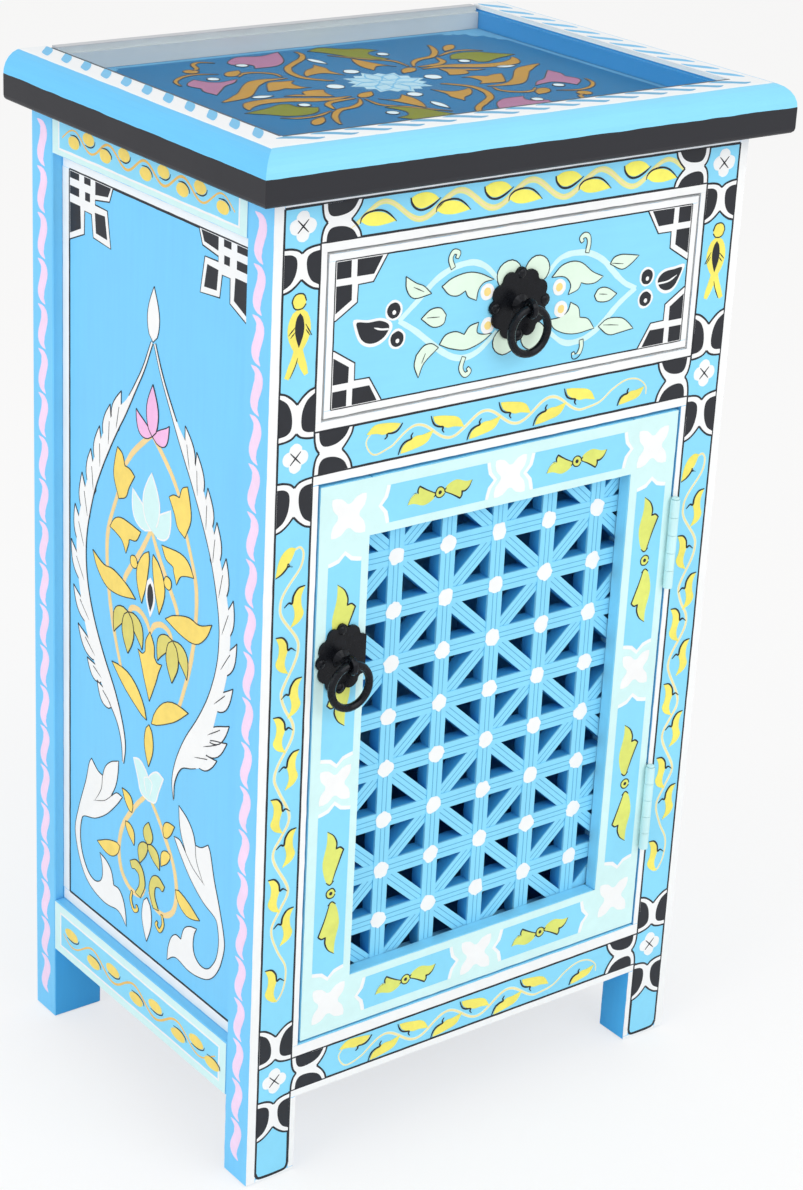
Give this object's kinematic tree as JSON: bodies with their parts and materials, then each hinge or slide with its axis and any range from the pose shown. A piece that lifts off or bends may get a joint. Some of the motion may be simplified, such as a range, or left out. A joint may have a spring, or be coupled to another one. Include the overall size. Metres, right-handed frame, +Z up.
{
  "type": "painted nightstand",
  "caption": "Tall narrow bedside cabinet with a glazed tray top, an inset drawer over a lattice door, ring pulls and square feet, for keeping things beside a bed",
  "frame": {"origin": "on the floor, under the middle of the overall box", "axes": "+X to the right seen from the front, +Y to the back, +Z up; the drawer and the door face -Y"},
  "size_m": [0.408, 0.294, 0.7],
  "materials": {
    "sky_blue_paint": "brushed satin paint with painted ornament",
    "deep_blue_paint": "brushed satin paint with painted ornament, under glass",
    "pale_grey_paint": "matt paint",
    "raw_pine": "planed, unfinished",
    "black_iron": "satin black",
    "pale_aqua_paint": "painted over with the frame's colour",
    "plated_steel": "zinc plated",
    "clear_glass": "clear float glass with a seamed edge"
  },
  "bodies": {
    "carcass": {"cupboard_floor": "raw_pine", "door_catch": "raw_pine", "drawer_guide_left": "raw_pine", "drawer_guide_right": "raw_pine", "drawer_runner_left": "raw_pine", "drawer_runner_right": "raw_pine", "glass_pane": "clear_glass", "hinge_lower_frame_leaf": "pale_aqua_paint", "hinge_lower_pin": "pale_aqua_paint", "hinge_upper_frame_leaf": "pale_aqua_paint", "hinge_upper_pin": "pale_aqua_paint", "panel_back": "sky_blue_paint", "panel_left": "sky_blue_paint", "panel_right": "sky_blue_paint", "post_back_left": "sky_blue_paint", "post_back_right": "sky_blue_paint", "post_front_left": "sky_blue_paint", "post_front_right": "sky_blue_paint", "rail_back_bottom": "sky_blue_paint", "rail_back_top": "sky_blue_paint", "rail_front_bottom": "sky_blue_paint", "rail_front_middle": "sky_blue_paint", "rail_front_top": "sky_blue_paint", "rail_left_bottom": "sky_blue_paint", "rail_left_top": "sky_blue_paint", "rail_right_bottom": "sky_blue_paint", "rail_right_top": "sky_blue_paint", "top_back_strip": "pale_grey_paint", "top_board": "deep_blue_paint", "top_moulding_front": "sky_blue_paint", "top_moulding_left": "sky_blue_paint", "top_moulding_right": "sky_blue_paint"},
    "drawer": {"drawer_front": "sky_blue_paint", "drawer_side_left": "raw_pine", "drawer_side_right": "raw_pine", "drawer_back": "raw_pine", "drawer_bottom": "raw_pine", "drawer_pull_plate": "black_iron", "drawer_pull_eye": "black_iron"},
    "door": {"door_stile_left": "sky_blue_paint", "door_stile_right": "sky_blue_paint", "door_rail_top": "sky_blue_paint", "door_rail_bottom": "sky_blue_paint", "door_lattice": "sky_blue_paint", "hinge_upper_door_leaf": "pale_aqua_paint", "hinge_lower_door_leaf": "pale_aqua_paint", "door_pull_plate": "black_iron", "door_pull_eye": "black_iron", "catch_strike": "plated_steel"},
    "drawer_ring": {"drawer_pull_ring": "black_iron"},
    "door_ring": {"door_pull_ring": "black_iron"}
  },
  "joints": [
    {"name": "drawer_slide", "type": "slide", "parent": "carcass", "child": "drawer", "axis": [0, -1, 0], "range_m": [0, 0.18]},
    {"name": "door_hinge", "type": "hinge", "parent": "carcass", "child": "door", "pos_m": [0.1451, -0.1306, 0.2925], "axis": [0, 0, 1], "range_deg": [0, 170]},
    {"name": "drawer_ring_swing", "type": "hinge", "parent": "drawer", "child": "drawer_ring", "pos_m": [0, -0.1395, 0.58], "axis": [-1, 0, 0], "range_deg": [-15, 150]},
    {"name": "door_ring_swing", "type": "hinge", "parent": "door", "child": "door_ring", "pos_m": [-0.12495, -0.1395, 0.37], "axis": [-1, 0, 0], "range_deg": [-15, 150]}
  ]
}
